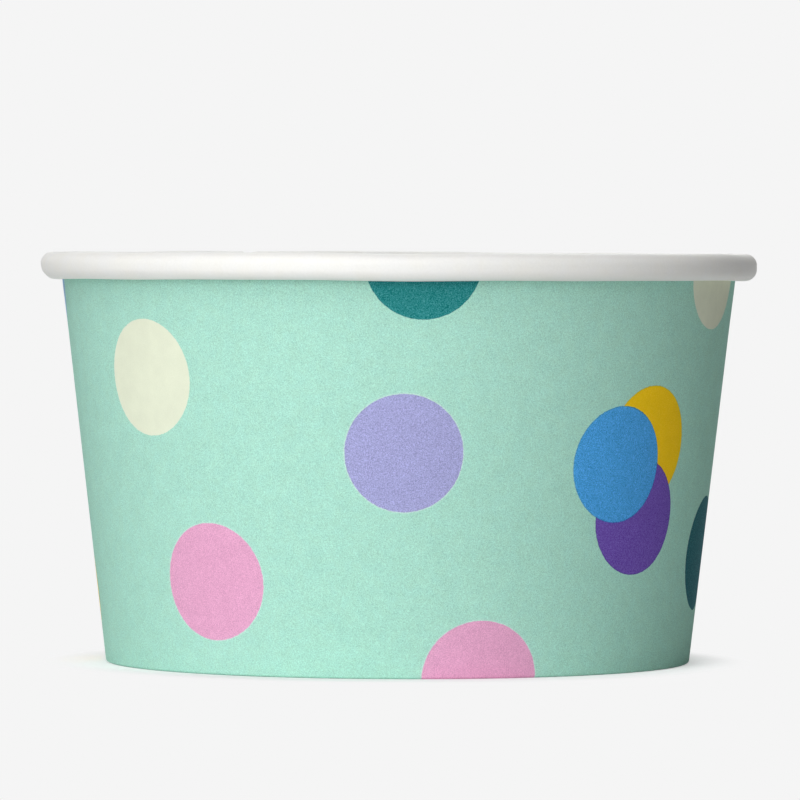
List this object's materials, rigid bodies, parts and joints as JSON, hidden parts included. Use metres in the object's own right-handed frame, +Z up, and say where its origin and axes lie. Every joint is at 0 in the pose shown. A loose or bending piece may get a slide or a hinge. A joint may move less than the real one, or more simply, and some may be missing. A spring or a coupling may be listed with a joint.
{
  "type": "paper snack bowl",
  "caption": "Round tapered paper snack bowl with a rolled white rim, a lapped side seam, a hemmed foot, a raised flat base and a mint-green wall printed with coloured dots.",
  "frame": {"origin": "centre of the foot, on the plane the bowl stands on", "axes": "+Z up along the bowl's axis, out of its mouth; -Y towards the front of the print; the side seam is at the back, 127 degrees anticlockwise from +X"},
  "size_m": [0.115, 0.115, 0.0658],
  "materials": {
    "printed_board": "satin coated board, printed mint green with coloured dots on the outside and white on the inside and on the rolled rim",
    "white_board": "satin coated white board"
  },
  "bodies": {
    "root": {"side_wall": "printed_board", "base_disc": "white_board"}
  },
  "joints": []
}
